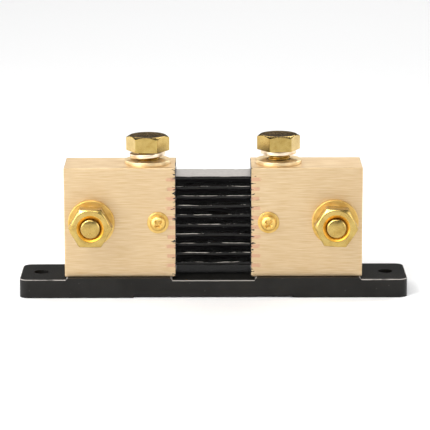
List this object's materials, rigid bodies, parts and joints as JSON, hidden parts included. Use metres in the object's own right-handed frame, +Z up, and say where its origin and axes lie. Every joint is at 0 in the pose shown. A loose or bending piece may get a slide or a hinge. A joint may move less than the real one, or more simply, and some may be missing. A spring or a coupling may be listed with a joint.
{
  "type": "battery monitor shunt",
  "caption": "Current shunt: brass terminal blocks joined by brazed resistance strips on a black moulded base, with clamping bolts, nuts and measuring screws.",
  "frame": {"origin": "midway between the two mounting holes, on the plane of the feet", "axes": "+X along the base to the right seen from the front, +Y to the back, +Z up; nuts and measuring screws face -Y"},
  "size_m": [0.134, 0.0353, 0.0553],
  "materials": {
    "block_brass": "milled, fine straight grain",
    "fastener_brass": "turned, bright yellow",
    "spring_washer_bronze": "pale rolled bronze",
    "braze_alloy": "pink copper-phosphorus braze, filed flush",
    "strip_lacquer": "thick glossy black lacquer",
    "base_plastic": "moulded black phenolic, satin",
    "screw_steel": "bright zinc-plated"
  },
  "bodies": {
    "root": {"base": "base_plastic", "resistance_strip_01": "strip_lacquer", "resistance_strip_02": "strip_lacquer", "resistance_strip_03": "strip_lacquer", "resistance_strip_04": "strip_lacquer", "resistance_strip_05": "strip_lacquer", "resistance_strip_06": "strip_lacquer", "resistance_strip_07": "strip_lacquer", "resistance_strip_08": "strip_lacquer", "resistance_strip_09": "strip_lacquer", "resistance_strip_10": "strip_lacquer", "terminal_block_left": "block_brass", "braze_left": "braze_alloy", "base_screws_left": "screw_steel", "top_flat_washer_left": "fastener_brass", "front_bolt_left": "fastener_brass", "front_flat_washer_left": "fastener_brass", "terminal_block_right": "block_brass", "braze_right": "braze_alloy", "base_screws_right": "screw_steel", "top_flat_washer_right": "fastener_brass", "front_bolt_right": "fastener_brass", "front_flat_washer_right": "fastener_brass"},
    "top_spring_washer_left": {"top_spring_washer_left": "spring_washer_bronze"},
    "top_bolt_left": {"top_bolt_left": "fastener_brass"},
    "front_spring_washer_left": {"front_spring_washer_left": "spring_washer_bronze"},
    "front_nut_left": {"front_nut_left": "fastener_brass"},
    "sense_washer_left": {"sense_washer_left": "fastener_brass"},
    "sense_screw_left": {"sense_screw_left": "fastener_brass"},
    "top_spring_washer_right": {"top_spring_washer_right": "spring_washer_bronze"},
    "top_bolt_right": {"top_bolt_right": "fastener_brass"},
    "front_spring_washer_right": {"front_spring_washer_right": "spring_washer_bronze"},
    "front_nut_right": {"front_nut_right": "fastener_brass"},
    "sense_washer_right": {"sense_washer_right": "fastener_brass"},
    "sense_screw_right": {"sense_screw_right": "fastener_brass"}
  },
  "joints": [
    {"name": "top_bolt_left_travel", "type": "slide", "parent": "root", "child": "top_spring_washer_left", "axis": [0, 0, 1], "range_m": [0, 0.01031]},
    {"name": "top_bolt_left_turn", "type": "hinge", "parent": "top_spring_washer_left", "child": "top_bolt_left", "pos_m": [-0.0226, 0, 0.0452], "axis": [0, 0, 1], "range_deg": [0, 2973]},
    {"name": "front_nut_left_travel", "type": "slide", "parent": "root", "child": "front_spring_washer_left", "axis": [0, -1, 0], "range_m": [0, 0.00594]},
    {"name": "front_nut_left_turn", "type": "hinge", "parent": "front_spring_washer_left", "child": "front_nut_left", "pos_m": [-0.0419, -0.0097, 0.0261], "axis": [0, -1, 0], "range_deg": [0, 1713]},
    {"name": "sense_screw_left_travel", "type": "slide", "parent": "root", "child": "sense_washer_left", "axis": [0, -1, 0], "range_m": [0, 0.00487]},
    {"name": "sense_screw_left_turn", "type": "hinge", "parent": "sense_washer_left", "child": "sense_screw_left", "pos_m": [-0.019, -0.0097, 0.0261], "axis": [0, -1, 0], "range_deg": [0, 3513]},
    {"name": "top_bolt_right_travel", "type": "slide", "parent": "root", "child": "top_spring_washer_right", "axis": [0, 0, 1], "range_m": [0, 0.01031]},
    {"name": "top_bolt_right_turn", "type": "hinge", "parent": "top_spring_washer_right", "child": "top_bolt_right", "pos_m": [0.0226, 0, 0.0452], "axis": [0, 0, 1], "range_deg": [0, 2973]},
    {"name": "front_nut_right_travel", "type": "slide", "parent": "root", "child": "front_spring_washer_right", "axis": [0, -1, 0], "range_m": [0, 0.00594]},
    {"name": "front_nut_right_turn", "type": "hinge", "parent": "front_spring_washer_right", "child": "front_nut_right", "pos_m": [0.0419, -0.0097, 0.0261], "axis": [0, -1, 0], "range_deg": [0, 1713]},
    {"name": "sense_screw_right_travel", "type": "slide", "parent": "root", "child": "sense_washer_right", "axis": [0, -1, 0], "range_m": [0, 0.00487]},
    {"name": "sense_screw_right_turn", "type": "hinge", "parent": "sense_washer_right", "child": "sense_screw_right", "pos_m": [0.019, -0.0097, 0.0261], "axis": [0, -1, 0], "range_deg": [0, 3513]}
  ],
  "couplings": [
    {"joint": "top_bolt_left_turn", "follows": "top_bolt_left_travel", "rad_per_m": 5026.5},
    {"joint": "front_nut_left_turn", "follows": "front_nut_left_travel", "rad_per_m": 5026.5},
    {"joint": "sense_screw_left_turn", "follows": "sense_screw_left_travel", "rad_per_m": 12566},
    {"joint": "top_bolt_right_turn", "follows": "top_bolt_right_travel", "rad_per_m": 5026.5},
    {"joint": "front_nut_right_turn", "follows": "front_nut_right_travel", "rad_per_m": 5026.5},
    {"joint": "sense_screw_right_turn", "follows": "sense_screw_right_travel", "rad_per_m": 12566}
  ]
}
